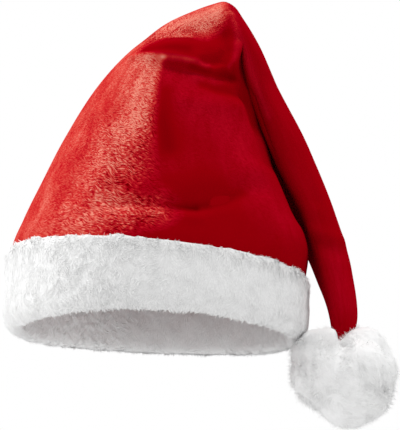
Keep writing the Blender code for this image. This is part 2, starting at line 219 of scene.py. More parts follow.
def bells(grid, normals, folds):
    """The sum of the folds' bell curves where the cloth faces their side: each its rise on its line, and a
    third of that its width away."""
    rise = np.zeros(grid.shape[:2])
    for fold in folds.values():
        facing = np.clip(fold.side * normals[..., 1] / fully_facing, 0, 1)
        rise += fold.rise * facing * np.exp(-((off_line(grid, fold.line) / fold.width) ** 2))
    return rise


def crown_surface(places, angles, swell=0.0):
    """The smooth crown moved along its outer face's normals by its folds. Returns points and normals."""
    outer_face = smooth_crown(places, angles)
    normals = ring_normals(outer_face)
    on_body = (places < crown_places["fold_ridge"])[:, None]
    rise = np.where(on_body, bells(outer_face, normals, body_folds), bells(outer_face, normals, tail_folds))
    rise += bells(outer_face, normals, wrinkles)
    grid = smooth_crown(places, angles, swell) + rise[..., None] * normals
    return grid, ring_normals(grid)


def ring_faces(rings, around):
    """Quads between neighbouring closed rings, as rows of four corner numbers."""
    ring, point = np.meshgrid(np.arange(rings - 1), np.arange(around), indexing="ij")
    low, beside = ring * around, (point + 1) % around
    quads = np.stack([low + point, low + beside, low + around + beside, low + around + point], axis=-1)
    return quads.reshape(-1, 4)


def end_fan(first, around, middle, is_first_ring):
    """Triangles that close a ring with a point in its middle, wound the other way on the first ring."""
    here = first + np.arange(around)
    beside = first + (np.arange(around) + 1) % around
    edge = [beside, here] if is_first_ring else [here, beside]
    return np.stack([*edge, np.full(around, middle)], axis=-1)


def add_piece(name, points, faces, material):
    """A smooth-shaded mesh object whose place is in its mesh."""
    mesh = bpy.data.meshes.new(name)
    mesh.from_pydata(points.reshape(-1, 3), [], faces)
    mesh.materials.append(material)
    mesh.shade_smooth()
    piece = bpy.data.objects.new(name, mesh)
    bpy.context.scene.collection.objects.link(piece)
    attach(piece, "root")
    return piece


def set_points(piece, name, values):
    """Stores a number or a vector for each point of the mesh, for its material to read."""
    kind, field = ("FLOAT_VECTOR", "vector") if values.shape[-1] == 3 else ("FLOAT", "value")
    attribute = piece.data.attributes.new(name, kind, "POINT")
    attribute.data.foreach_set(field, values.astype(np.float32).ravel())


def add_node(tree, kind, **inputs):
    """A shader node. Inputs are given by name, with _ for a space: a socket is linked, a value is set."""
    node = tree.nodes.new("ShaderNode" + kind)
    for name, value in inputs.items():
        socket = node.inputs[int(name[1:])] if name[1:].isdigit() else node.inputs[name.replace("_", " ")]
        if isinstance(value, bpy.types.NodeSocket):
            tree.links.new(value, socket)
        else:
            socket.default_value = value
    return node


def start_material(name):
    """A material's node tree with its Principled shader."""
    material = bpy.data.materials.new(name)
    material.use_nodes = True
    return material, material.node_tree, material.node_tree.nodes["Principled BSDF"]


def add_math(tree, operation, *values):
    """A math node's result."""
    node = add_node(tree, "Math", **{f"i{place}": value for place, value in enumerate(values)})
    node.operation = operation
    return node.outputs[0]


def add_attribute(tree, name, output):
    """What the mesh stores under a name for each of its points."""
    node = add_node(tree, "Attribute")
    node.attribute_name = name
    return node.outputs[output]


def add_ramp(tree, share, colors):
    """The colour at a share, on straight lines between the colours listed by their places."""
    ramp = add_node(tree, "ValToRGB", Fac=share)
    steps = ramp.color_ramp.elements
    first, *between, last = sorted(colors)
    steps[0].position, steps[0].color = first, (*colors[first], 1)
    steps[1].position, steps[1].color = last, (*colors[last], 1)
    for place in between:
        steps.new(place).color = (*colors[place], 1)
    return ramp.outputs["Color"]


# Painted sheen on the plush, where the light from the left grazes it: on one side of an edge the red is
# painted light, elsewhere it keeps its plain deep red. The edge is a line seen from the front, at -1, and
# from the back, at 1, that runs from the hem up to the fold. The painted side lies towards the long outline.
painted_sheen_edges = {
    -1: [
        (-0.036, 0.040), (-0.030, 0.048), (-0.010, 0.054), (0.004, 0.0585), (0.002, 0.063),
        (-0.008, 0.068), (-0.017, 0.078), (-0.0155, 0.090), (-0.0135, 0.100), (-0.011, 0.110),
        (-0.0073, 0.122), (-0.0064, 0.146), (-0.0038, 0.161), (-0.0038, 0.1650), (0.0000, 0.1672),
        (-0.0040, 0.1688), (-0.0120, 0.1694), (-0.0205, 0.1716), (-0.0170, 0.1780), (-0.0110, 0.1840),
        (-0.0030, 0.1880), (0.0056, 0.1916), (0.0120, 0.1920), (0.0190, 0.1862), (0.0250, 0.1850),
        (0.0310, 0.1910), (0.0355, 0.2000), (0.0375, 0.2120),
    ],
    1: [
        (-0.022, 0.040), (-0.010, 0.060), (-0.018, 0.080), (-0.026, 0.104), (-0.018, 0.124),
        (-0.010, 0.140), (-0.016, 0.156), (-0.008, 0.172), (0.006, 0.186), (0.024, 0.200), (0.040, 0.212),
    ],
}

# Strokes paint sheen and highlights along a line, and paint shade where their rise is less than nothing: in
# the hollows of folds, under the sags and the crest, and along the tail's outer edge. Ruffles are where the
# plush's hairs are broken up, and smooth_nap is how much they are so elsewhere.
strokes = {
    # Painted sheen down the lit flank.
    "flank_top": Fold(-1, 0.22, 0.010, [(-0.014, 0.164), (-0.016, 0.140), (-0.020, 0.118)]),
    "flank_middle": Fold(-1, 0.10, 0.012, [(-0.024, 0.112), (-0.036, 0.096)]),
    "flank_low": Fold(-1, 0.10, 0.010, [(-0.050, 0.058), (-0.034, 0.062), (-0.012, 0.060)]),
    # Streaks with less painted sheen across the lit flank, and a dark line low across it.
    "flank_less_sheen": Fold(-1, -0.08, 0.006, [(-0.040, 0.150), (-0.046, 0.136), (-0.048, 0.128)]),
    "flank_streak": Fold(-1, -0.10, 0.005, [(-0.034, 0.143), (-0.038, 0.128), (-0.050, 0.110)]),
    "low_streak": Fold(-1, -0.10, 0.006, [(-0.052, 0.104), (-0.060, 0.088), (-0.062, 0.076)]),
    "flank_dark_line": Fold(-1, -0.20, 0.006, [(-0.030, 0.078), (-0.012, 0.074)]),
    # Painted highlights along the brow line, the hook and the crest, and painted shade along the crest's rim.
    "brow_left": Fold(-1, 0.04, 0.0030, [(-0.018, 0.1682), (-0.006, 0.1674)]),
    "brow_middle": Fold(-1, 0.38, 0.0015, [(-0.003, 0.1678), (0.007, 0.1675), (0.0165, 0.1662)]),
    "brow_end": Fold(-1, 0.18, 0.0018, [(0.0188, 0.1657), (0.0260, 0.1640)]),
    "hook": Fold(-1, 0.20, 0.0018, [
        (0.0400, 0.1655), (0.0433, 0.1712), (0.0446, 0.1778), (0.0453, 0.1865), (0.0439, 0.1946),
        (0.0400, 0.2060),
    ]),
    "fold_crest": Fold(-1, 0.34, 0.008, [(0.002, 0.194), (0.020, 0.199), (0.033, 0.206)]),
    "crest_rim": Fold(-1, -0.24, 0.0045, [
        (-0.020, 0.1925), (-0.0035, 0.2075), (0.018, 0.2200), (0.033, 0.2270),
    ]),
    # Painted sheen in soft patches on the dark front.
    "corner_light": Fold(-1, 0.08, 0.005, [(0.0005, 0.156), (0.014, 0.156), (0.030, 0.155)]),
    "middle_light": Fold(-1, 0.12, 0.016, [(0.012, 0.140), (0.028, 0.128), (0.044, 0.124)]),
    "right_light": Fold(-1, 0.10, 0.014, [(0.048, 0.100), (0.060, 0.086), (0.076, 0.068)]),
    "centre_light": Fold(-1, 0.05, 0.008, [(-0.002, 0.090), (0.010, 0.092), (0.020, 0.098)]),
    # Painted shade in hollows and under folds, from the brow down to the hem.
    "edge_dark": Fold(-1, -0.10, 0.006, [(0.000, 0.142), (-0.001, 0.122), (0.003, 0.104)]),
    "wedge_dark": Fold(-1, -0.12, 0.0045, [(-0.014, 0.1735), (0.002, 0.1765), (0.012, 0.1750)]),
    "sag_dark": Fold(-1, -0.12, 0.0022, [(0.0160, 0.1630), (0.0300, 0.1590), (0.0440, 0.1610)]),
    "second_sag_dark": Fold(-1, -0.10, 0.0030, [(0.0230, 0.1505), (0.0330, 0.1475), (0.0480, 0.1490)]),
    "valley_dark": Fold(-1, -0.12, 0.0060, [(0.0420, 0.1660), (0.0510, 0.1560), (0.0600, 0.1380)]),
    "hem_dark": Fold(-1, -0.16, 0.0018, [(-0.026, 0.0660), (-0.004, 0.0656), (0.022, 0.0645)]),
    "pull_dark": Fold(-1, -0.08, 0.0030, [(0.022, 0.0650), (0.036, 0.0700), (0.050, 0.0790)]),
    "waist_dark": Fold(-1, -0.03, 0.014, [(0.010, 0.078), (0.034, 0.078)]),
    # Painted highlights on the tail's inner edge and near its end, painted shade along its outer edge.
    "tail_inner_light": Fold(-1, 0.12, 0.0026, [
        (0.0405, 0.2030), (0.0443, 0.1950), (0.0481, 0.1848), (0.0525, 0.1745), (0.0578, 0.1640),
        (0.0684, 0.1429),
    ]),
    "tail_outer_dark": Fold(-1, -0.035, 0.008, [
        (0.0650, 0.1935), (0.0778, 0.1723), (0.101, 0.131), (0.1183, 0.086), (0.129, 0.046),
    ]),
    "tail_end_light": Fold(-1, 0.07, 0.008, [(0.116, 0.052), (0.122, 0.020)]),
    # Painted sheen on the back's left side, with a streak of less.
    "back_flank": Fold(1, 0.24, 0.018, [(-0.034, 0.150), (-0.030, 0.080)]),
    "back_less_sheen": Fold(1, -0.14, 0.012, [(-0.050, 0.120), (-0.056, 0.084)]),
}
ruffles = {
    "upper_ruffle": Fold(-1, 0.35, 0.012, [(-0.012, 0.162), (-0.014, 0.120)]),
    "lower_ruffle": Fold(-1, 0.85, 0.024, [(-0.020, 0.100), (-0.024, 0.080), (-0.014, 0.066)]),
    "hem_ruffle": Fold(-1, 0.35, 0.012, [(-0.060, 0.056), (-0.030, 0.054)]),
    "crest_ruffle": Fold(-1, 0.85, 0.010, [(-0.008, 0.190), (0.028, 0.200)]),
    "ridge_smooth": Fold(-1, -0.60, 0.0045, [(-0.004, 0.1680), (0.020, 0.1665)]),
    "back_ruffle": Fold(1, 0.60, 0.030, [(-0.020, 0.150), (-0.020, 0.070)]),
}
smooth_nap = 0.30

# How wide the painted sheen's edge is at each height.
edge_softness = {
    0.045: 0.020, 0.060: 0.026, 0.085: 0.032, 0.105: 0.020, 0.120: 0.009, 0.150: 0.005, 0.166: 0.0022,
    0.174: 0.004, 0.188: 0.010, 0.212: 0.008,
}
# How light the painted sheen is on the lit side of the edge, and the faint even painted sheen on the tail.
painted_sheen_level, tail_lift = 0.62, 0.03
places = even_places(len(crown_sections) - 1, crown_outer_rings)
turns = np.linspace(0, 2 * np.pi, crown_round, endpoint=False)
angles = np.pi / 2 + turns + front_detail * np.sin(turns)
outer_face, outer_normals = crown_surface(places, angles)
inner_places = even_places(crown_places["tail_end"], crown_inner_rings)
inner_face = crown_surface(inner_places, angles, -cloth_thickness)[0]


def cut_corners(path, times):
    """Each pass puts two points on each step, a quarter from its ends, and keeps the ends of the path."""
    for _ in range(times):
        ahead, behind = path[..., 1:, :], path[..., :-1, :]
        pairs = np.stack([0.75 * behind + 0.25 * ahead, 0.25 * behind + 0.75 * ahead], axis=-2)
        inside = pairs.reshape(*path.shape[:-2], -1, path.shape[-1])
        path = np.concatenate([path[..., :1, :], inside, path[..., -1:, :]], axis=-2)
    return path


def painted_light_lift(grid, normals):
    """How much sheen is painted on: on its side of the edge, and more or less so along the strokes, down to
    below nothing where shade is painted. Off the body the tail gets only a faint even painted sheen."""
    lifts = []
    for side in (-1, 1):
        edge = cut_corners(np.array(painted_sheen_edges[side]), 2)
        past = off_line(grid, edge)
        past = np.where(grid[..., 0] < np.interp(grid[..., 2], edge[:, 1], edge[:, 0]), past, -past)
        softness = np.interp(grid[..., 2], list(edge_softness), list(edge_softness.values()))
        lifts.append(painted_sheen_level * np.clip(0.5 + past / softness, 0, 1))
    lift = np.where(normals[..., 1] < 0, lifts[0], lifts[1])
    on_body = (places < crown_places["fold_ridge"])[:, None]
    return np.where(on_body, lift, tail_lift) + bells(grid, normals, strokes)


pile_radius, pile_lean = 0.080, 0.35


def pile_places(grid, angles):
    """Each point's place in the pile: round a cylinder, and up from the hem along its own column, leaned."""
    steps = np.linalg.norm(np.diff(grid, axis=0), axis=-1)
    up = np.concatenate([np.zeros((1, len(angles))), np.cumsum(steps, axis=0)]) + pile_lean * grid[..., 0]
    flat = np.broadcast_to(pile_radius * np.stack([np.cos(angles), np.sin(angles)], axis=-1), (*up.shape, 2))
    return np.concatenate([flat, up[..., None]], axis=-1)


# The plush's patterns have so many cells a metre round the crown and up it, and vary the painted sheen and
# shade by these contrasts. Its colours go from the deepest painted shade, at 0, through the plain red, at
# 0.2, to the brightest painted sheen, at 1.
drift_scale, drift_size = 130.0, 0.007
hair_scale, tuft_scale, patch_scale = (430.0, 430.0, 1600.0), (560.0, 560.0, 1500.0), (130.0, 130.0, 50.0)
hair_contrast, patch_contrast = 3.6, 0.9
parting_middle, parting_sharpness, parting_depth = 0.42, 14.0, 0.30
shown_by_lift, shown_when_flat, most_shown = 2.4, 0.02, 0.8
lift_span, lift_offset = 0.8, 0.2
plush_shade_to_sheen_colors = {
    0.04: (0.15, 0.0, 0.0006), 0.20: (0.275, 0.0, 0.0025), 0.30: (0.36, 0.0006, 0.009),
    0.42: (0.43, 0.004, 0.012), 0.56: (0.52, 0.018, 0.020), 0.70: (0.60, 0.056, 0.041),
    0.86: (0.67, 0.120, 0.090), 1.0: (0.78, 0.25, 0.18),
}


def plush_material():
    """Red plush, its own deep red made darker where shade is painted and light red where sheen is painted.
    Where the plush is ruffled the painted sheen is broken up along hairs that run round the crown, with thin
    dark partings, and hairs stand out as bump."""
    material, tree, shader = start_material("red_plush")
    pile = add_attribute(tree, "pile", "Vector")
    # The painted sheen and shade, stored on the crown.
    lift = add_attribute(tree, "painted_sheen_and_shade", "Fac")
    ruffle = add_attribute(tree, "ruffle", "Fac")
    drift = add_node(tree, "TexNoise", Vector=pile, Scale=drift_scale, Detail=1.0).outputs["Fac"]
    drift = add_node(tree, "CombineXYZ", Z=add_math(tree, "MULTIPLY_ADD", drift, drift_size, -drift_size / 2))
    bent = add_node(tree, "VectorMath", i0=pile, i1=drift.outputs[0])
    bent.operation = "ADD"
    hair_space = add_node(tree, "Mapping", Vector=bent.outputs[0], Scale=hair_scale)
    hairs = add_node(tree, "TexNoise", Vector=hair_space.outputs[0], Scale=1.0, Detail=1.5).outputs["Fac"]
    tuft_space = add_node(tree, "Mapping", Vector=bent.outputs[0], Scale=tuft_scale)
    tufts = add_node(tree, "TexNoise", Vector=tuft_space.outputs[0], Scale=1.0, Detail=0.0).outputs["Fac"]
    partings = add_math(tree, "ABSOLUTE", add_math(tree, "SUBTRACT", tufts, parting_middle))
    partings = add_math(tree, "SUBTRACT", 1.0, add_math(tree, "MULTIPLY", partings, parting_sharpness))
    partings = add_math(tree, "MAXIMUM", partings, 0.0)
    patch_space = add_node(tree, "Mapping", Vector=pile, Scale=patch_scale)
    patches = add_node(tree, "TexNoise", Vector=patch_space.outputs[0], Scale=1.0, Detail=3.0).outputs["Fac"]
    hair_push = add_math(tree, "MULTIPLY_ADD", hairs, hair_contrast, -hair_contrast / 2)
    hair_push = add_math(tree, "MULTIPLY_ADD", partings, -parting_depth, hair_push)
    push = add_math(tree, "MULTIPLY", hair_push, ruffle)
    patch_push = add_math(tree, "MULTIPLY_ADD", patches, patch_contrast, -patch_contrast / 2)
    push = add_math(tree, "ADD", push, patch_push)
    by_lift = add_math(tree, "MULTIPLY_ADD", lift, shown_by_lift, shown_when_flat)
    shown = add_math(tree, "MINIMUM", add_math(tree, "MAXIMUM", by_lift, 0.0), most_shown)
    broken_lift = add_math(tree, "MULTIPLY_ADD", push, shown, lift)
    # The ramp turns the painted sheen and shade into the base colour.
    color = add_ramp(tree, add_math(tree, "MULTIPLY_ADD", broken_lift, lift_span, lift_offset), plush_shade_to_sheen_colors)
    tree.links.new(color, shader.inputs["Base Color"])
    height = add_math(tree, "MULTIPLY", hair_push, add_math(tree, "MULTIPLY", ruffle, shown))
    bump = add_node(tree, "Bump", Height=height, Distance=0.0012, Strength=0.35)
    tree.links.new(bump.outputs[0], shader.inputs["Normal"])
    shader.inputs["Roughness"].default_value = 0.8
    shader.inputs["Specular IOR Level"].default_value = 0.0
    shader.inputs["Sheen Weight"].default_value = 0.12
    shader.inputs["Sheen Roughness"].default_value = 0.5
    shader.inputs["Sheen Tint"].default_value = (1.0, 0.0, 0.03, 1)
    return material


red_plush = plush_material()
crown_grid = np.concatenate([inner_face[::-1], outer_face])
crown_ends = np.stack([crown_grid[0].mean(axis=0), crown_grid[-1].mean(axis=0)])
crown_points = np.concatenate([crown_grid.reshape(-1, 3), crown_ends])
closed_end = end_fan(0, crown_round, len(crown_points) - 2, True)
tip_end = end_fan((len(crown_grid) - 1) * crown_round, crown_round, len(crown_points) - 1, False)
crown_quads = ring_faces(len(crown_grid), crown_round)
crown_faces = crown_quads.tolist() + closed_end.tolist() + tip_end.tolist()
crown = add_piece("crown_plush", crown_points, crown_faces, red_plush)
# The painted sheen and shade on the crown's outer face; the inside and the two ends keep the plain red.
crown_painted_light = np.concatenate([
    np.zeros(inner_face.shape[:2]).ravel(), painted_light_lift(outer_face, outer_normals).ravel(), [0.0, 0.0]
])
set_points(crown, "painted_sheen_and_shade", crown_painted_light)
crown_ruffle = np.clip(smooth_nap + bells(outer_face, outer_normals, ruffles), 0, 1)
crown_ruffle = np.concatenate([np.zeros(inner_face.shape[:2]).ravel(), crown_ruffle.ravel(), [0.0, 0.0]])
set_points(crown, "ruffle", crown_ruffle)
crown_pile = np.concatenate([
    pile_places(inner_face[::-1], angles).reshape(-1, 3),
    pile_places(outer_face, angles).reshape(-1, 3),
    crown_ends,
])
set_points(crown, "pile", crown_pile)
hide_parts("crown")

# The band is a strip of white short-pile fur, folded double and sewn into a ring round the crown's hem.
# Its lower edge is rolled, and its wall is about 14 mm thick. The crown's hem sits in the slot on top.
# Rows are corners of the strip's outline, in metres out from the crown's face, and up from its foot or down
# from its top edge.
Corner = namedtuple("Corner", "out from_top from_foot")
outline_corners = {
    "slot_lip": Corner(0.0004, 0.0012, None),
    "top_edge": Corner(0.0016, 0, None),
    "top_round": Corner(0.0026, 0.0014, None),
    "shoulder": Corner(0.0032, 0.006, None),
    "bulge": Corner(0.0036, None, 0.025),
    "roll_start": Corner(0.0032, None, 0.013),
    "roll_high": Corner(0.0024, None, 0.0076),
    "roll_low": Corner(-0.0010, None, 0.0026),
    "roll_foot": Corner(-0.0050, None, 0.0002),
    "foot_round": Corner(-0.0086, None, 0.0022),
    "foot_inside": Corner(-0.0104, None, 0.0070),
    "inner_bulge": Corner(-0.0112, None, 0.024),
    "inner_shoulder": Corner(-0.0102, 0.006, None),
    "inner_round": Corner(-0.0078, 0.0024, None),
    "inner_top": Corner(-0.0046, 0.0014, None),
}
band_round = 620
band_lowest, band_arch, band_back_rise = -0.004, 0.004, 0.001
slot_clearance, hem_depth, inner_lip = 0.0004, 0.012, 0.0024
skin_points = 112
Layer = namedtuple("Layer", "height size seed")

# Large numbers that mix a lattice corner's place and a seed into a random height.
lattice_factors, seed_factor, mixing_factor = np.array([73856093, 19349663, 83492791]), 2654435761, 1274126177


def evenly_spaced(path, count):
    """The same path with this many points at even steps, for each row of a stack of paths."""
    steps = np.linalg.norm(np.diff(path, axis=1), axis=-1)
    lengths = np.concatenate([np.zeros((len(path), 1)), np.cumsum(steps, axis=1)], axis=1)
    rows = [
        [np.interp(np.linspace(0, length[-1], count), length, row[:, axis]) for axis in range(path.shape[-1])]
        for length, row in zip(lengths, path)
    ]
    return np.transpose(np.array(rows), (0, 2, 1))


def soft_noise(points, size, seed):
    """Random heights from -1 to 1 on a cubic lattice of this size, smoothed between its corners."""
    cells = np.floor(points / size).astype(np.int64)
    share = points / size - cells
    share = share * share * (3 - 2 * share)
    total = np.zeros(points.shape[:-1])
    for corner in np.ndindex(2, 2, 2):
        at = cells + np.array(corner)
        mixed = np.bitwise_xor.reduce(at * lattice_factors, axis=-1) ^ (seed * seed_factor)
        mixed = (mixed ^ (mixed >> 13)) * mixing_factor
        height = ((mixed ^ (mixed >> 16)) & 0xFFFF) / 32767.5 - 1
        weight = np.prod(np.where(np.array(corner) == 1, share, 1 - share), axis=-1)
        total += weight * height
    return total


def layered_noise(points, layers):
    """The sum of the layers: each its height times soft noise of its size."""
    return sum(layer.height * soft_noise(points, layer.size, layer.seed) for layer in layers)


def band_surface():
    """The strip's outline, cut to round corners and carried round the hem. Returns its points and normals."""
    turns = np.linspace(0, 2 * np.pi, band_round, endpoint=False)
    edge = crown_sections["band_edge"]
    sine = np.sin(turns)
    pushed = sine * (3 - sine**2) / 2
    upper = edge.outer_z + (edge.inner_z - edge.outer_z) * (1 + np.cos(turns)) / 2
    upper -= edge.drop * np.abs(pushed) ** droop_power
    lower = band_lowest + band_arch * sine**2 + band_back_rise * sine
    rows = outline_corners.values()
    heights = [lower + row.from_foot if row.from_top is None else upper - row.from_top for row in rows]
    corners = [[np.full(band_round, row.out), height] for row, height in zip(rows, heights)]
    skin = evenly_spaced(cut_corners(np.transpose(np.array(corners), (2, 0, 1)), 3), skin_points)
    slot_floor = upper - hem_depth - slot_clearance
    inside = np.full(band_round, -cloth_thickness - slot_clearance)
    outer_wall = np.full(band_round, slot_clearance)
    slot = [[inside, upper - inner_lip], [inside, slot_floor], [outer_wall, slot_floor]]
    outline = np.concatenate([skin, np.transpose(np.array(slot), (2, 0, 1))], axis=1)
    hem = smooth_crown(np.array([0.0]), turns)[0]
    along = np.roll(hem, -1, axis=0) - np.roll(hem, 1, axis=0)
    outward = np.stack([along[:, 1], -along[:, 0]], axis=-1)
    outward /= np.linalg.norm(outward, axis=1, keepdims=True)
    flat = hem[:, None, :2] + outline[..., :1] * outward[:, None, :]
    grid = np.concatenate([flat, outline[..., 1:]], axis=-1)
    steps = np.roll(grid, -1, axis=1) - np.roll(grid, 1, axis=1)
    normals = np.cross(steps, np.roll(grid, -1, axis=0) - np.roll(grid, 1, axis=0))
    return grid, normals / np.linalg.norm(normals, axis=-1, keepdims=True), skin.shape[1]


mottling = 0.5


def fur_material(name, root, tip):
    """White fur: darker towards the root and lighter to the tip, a painted shade deep in the pile, with a
    faint mottling from tuft to tuft and a fine bump.
    """
    material, tree, shader = start_material(name)
    place = add_node(tree, "TexCoord").outputs["Object"]
    tufts = add_node(tree, "TexNoise", Vector=place, Scale=160.0, Detail=3.0).outputs["Fac"]
    share = add_math(tree, "MULTIPLY_ADD", tufts, mottling, -mottling / 2)
    share = add_math(tree, "ADD", add_attribute(tree, "along", "Fac"), share)
    tree.links.new(add_ramp(tree, share, {0.0: root, 1.0: tip}), shader.inputs["Base Color"])
    fine = add_node(tree, "TexNoise", Vector=place, Scale=900.0, Detail=2.0).outputs["Fac"]
    bump = add_node(tree, "Bump", Height=fine, Distance=0.0005, Strength=0.3)
    tree.links.new(bump.outputs[0], shader.inputs["Normal"])
    shader.inputs["Roughness"].default_value = 0.9
    shader.inputs["Specular IOR Level"].default_value = 0.1
    return material


def unit(vectors):
    """Vectors divided by their lengths."""
    return vectors / np.linalg.norm(vectors, axis=-1, keepdims=True)


def lock_points(roots, ways, bends, outs, widths, heights, steps):
    """Tapering locks: points of triangles round each lock's axis, and its tip.

    The axis is the root plus share times the way plus share squared times the bend, with share from 0 to 1.
    The section is a triangle with its ridge outwards, about as high as the given share of its width. Its size
    is the width times the square root of what is left of the lock.
    """
    share = np.linspace(0, 1, steps + 1)[None, :, None]
    axis = roots[:, None] + share * ways[:, None] + share**2 * bends[:, None]
    tangent = unit(ways[:, None] + 2 * share * bends[:, None])
    across = unit(np.cross(tangent, outs[:, None]))
    over = np.cross(across, tangent)
    turn = np.pi / 2 - 2 * np.pi / 3 * np.arange(3)[None, None, :, None]
    ring = np.cos(turn) * across[:, :, None] + heights[:, None, None, None] * np.sin(turn) * over[:, :, None]
    size = widths[:, None, None, None] / 2 * np.sqrt(1 - share)[..., None]
    body = (axis[:, :, None] + ring * size)[:, :-1].reshape(len(roots), -1, 3)
    return np.concatenate([body, axis[:, -1:]], axis=1)


def lock_faces(count, steps):
    """Triangles of one lock, repeated for each lock with its own point numbers."""
    faces = [[2, 1, 0]]
    for step in range(steps - 1):
        for corner in range(3):
            low, beside = 3 * step + corner, 3 * step + (corner + 1) % 3
            faces += [[low, beside, beside + 3], [low, beside + 3, low + 3]]
    last = 3 * (steps - 1)
    faces += [[last + corner, last + (corner + 1) % 3, last + 3] for corner in range(3)]
    first = np.arange(count)[:, None, None] * (3 * steps + 1)
    return (first + np.array(faces)[None]).reshape(-1, 3)


def add_locks(name, roots, ways, bends, outs, widths, heights, steps, material, lighter=0.0):
    """A mesh of locks, shaded flat because their sides meet too sharply to be smoothed. How far along its
    lock each point lies is stored for the material, with lighter, a painted light, added to it."""
    points = lock_points(roots, ways, bends, outs, widths, heights, steps)
    piece = add_piece(name, points, lock_faces(len(roots), steps), material)
    along = np.append(np.repeat(np.arange(steps) / steps, 3), 1.0)
    set_points(piece, "along", along + np.broadcast_to(lighter, len(roots))[:, None])
    piece.data.shade_flat()
    return piece


def scatter(chance, count, dice):
    """Random places on a closed grid, as a share of a cell, with each cell's chance as weight."""
    cells = dice.choice(chance.size, count, p=(chance / chance.sum()).ravel())
    return np.stack(np.unravel_index(cells, chance.shape), axis=-1), dice.random((count, 2))


def on_grid(grid, cells, shares):
    """Values of a grid at places inside its cells, by bilinear interpolation; both directions close."""
    one, two = cells[:, 0], cells[:, 1]
    one_on, two_on = (one + 1) % grid.shape[0], (two + 1) % grid.shape[1]
    a, b = shares[:, :1], shares[:, 1:]
    low = grid[one, two] * (1 - a) + grid[one_on, two] * a
    high = grid[one, two_on] * (1 - a) + grid[one_on, two_on] * a
    return low * (1 - b) + high * b


front_ruffle_x, front_ruffle_width = -0.045, 0.040
back_ruffle_x, back_ruffle_width, back_ruffle_level = 0.020, 0.050, 0.5
least_ruffled, front_wrap, facing_sharpness = 0.1, 0.8, 2
# Painted light on the pile's colour towards the left, where the light from the left falls on the band.
painted_light_left_of, painted_light_fade, most_painted_light = -0.020, 0.050, 0.5


def ruffle_share(points, normals):
    """How tangled the pile is, up to 1: bells across the hat, on the left of what faces the front, and weaker
    behind."""
    front = np.exp(-(((points[..., 0] - front_ruffle_x) / front_ruffle_width) ** 2))
    front = front * np.clip(front_wrap - facing_sharpness * normals[..., 1], 0, 1)
    back = back_ruffle_level * np.exp(-(((points[..., 0] - back_ruffle_x) / back_ruffle_width) ** 2))
    back = back * np.clip(facing_sharpness * normals[..., 1], 0, 1)
    return least_ruffled + (1 - least_ruffled) * np.maximum(front, back)


def painted_light_on_left(points):
    """How much light is painted on the pile on the left, rising in a straight line to the left."""
    return most_painted_light * np.clip(-(points[..., 0] - painted_light_left_of) / painted_light_fade, 0, 1)


# The strip's relief has curls that are drawn out and slanted, and a soft swell. Its top edge goes up and down
# in scallops. The slot that holds the hem stays plain.
curl_stretch, curl_slant = np.array([1.0, 1.0, 0.5]), 0.3
curls = [Layer(0.00045, 0.0040, 3), Layer(0.00040, 0.0022, 4)]
swells = [Layer(0.0006, 0.013, 5)]
scallops = [Layer(0.0011, 0.0055, 6), Layer(0.0005, 0.0025, 7)]
scallop_stretch = np.array([1.0, 1.0, 0.1])
lip_rows, top_rows = 2, slice(2, 9)
# The strip under the tufts takes a colour near the root's: painted shade under the pile.
strip_along = 0.35
band_grid, band_normals, skin_count = band_surface()
curl_places = band_grid * curl_stretch + curl_slant * band_grid[..., 2:]
relief = ruffle_share(band_grid, band_normals) * layered_noise(curl_places, curls)
relief = relief + layered_noise(band_grid, swells)
outside_slot = np.where(np.arange(band_grid.shape[1]) < skin_count - 1, 1.0, 0.0)
outside_slot[:lip_rows] = 0
band_grid = band_grid + (relief * outside_slot)[..., None] * band_normals
scallop = layered_noise(band_grid * scallop_stretch, scallops)
band_grid[:, top_rows, 2] += scallop[:, top_rows]
# Grey at the root for painted shade deep in the pile, near white at the tip.
white_band_fur = fur_material("white_fur_band", (0.70, 0.70, 0.70), (0.96, 0.96, 0.958))
profile_count = band_grid.shape[1]
strip_one, strip_two = np.meshgrid(np.arange(band_round), np.arange(profile_count), indexing="ij")
next_one, next_two = (strip_one + 1) % band_round, (strip_two + 1) % profile_count
band_faces = np.stack([
    strip_one * profile_count + strip_two,
    strip_one * profile_count + next_two,
    next_one * profile_count + next_two,
    next_one * profile_count + strip_two,
], axis=-1).reshape(-1, 4)
band = add_piece("band_padding", band_grid, band_faces, white_band_fur)
# The strip's colour also gets the painted light on the left.
set_points(band, "along", strip_along + painted_light_on_left(band_grid))
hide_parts("band")

# The band's pile: short tufts that grow out of the strip and lie down it, more tangled at the front left.
# Fewer are set inside the ring, where the pile is worn flat. Turns and lifts are in radians, and the spreads
# of the top and the foot in rows of the strip.
band_tuft_count = 46000
worn_inside = 0.35
swirl_turn, swirl_size, loose_turn, tangled_turn = 1.6, 0.009, 0.2, 0.5
least_lift, tangled_lift, top_lift, foot_lift, lift_size = 0.05, 0.22, 0.9, 0.15, 0.005
top_spread, foot_row, foot_spread = 7.0, 56.0, 5.0
shorter_on_top = 0.45
tuft_length, tuft_width = 0.0036, 0.0009
least_height, tangled_height = 0.15, 0.55
least_sunk, tangled_sunk = 0.00005, 0.00025


def varied(middle, spread, least, most, dice, shape):
    """Random sizes: a middle one times one plus a normal spread, kept between two shares of it."""
    return middle * (1 + spread * dice.normal(size=shape)).clip(least, most)


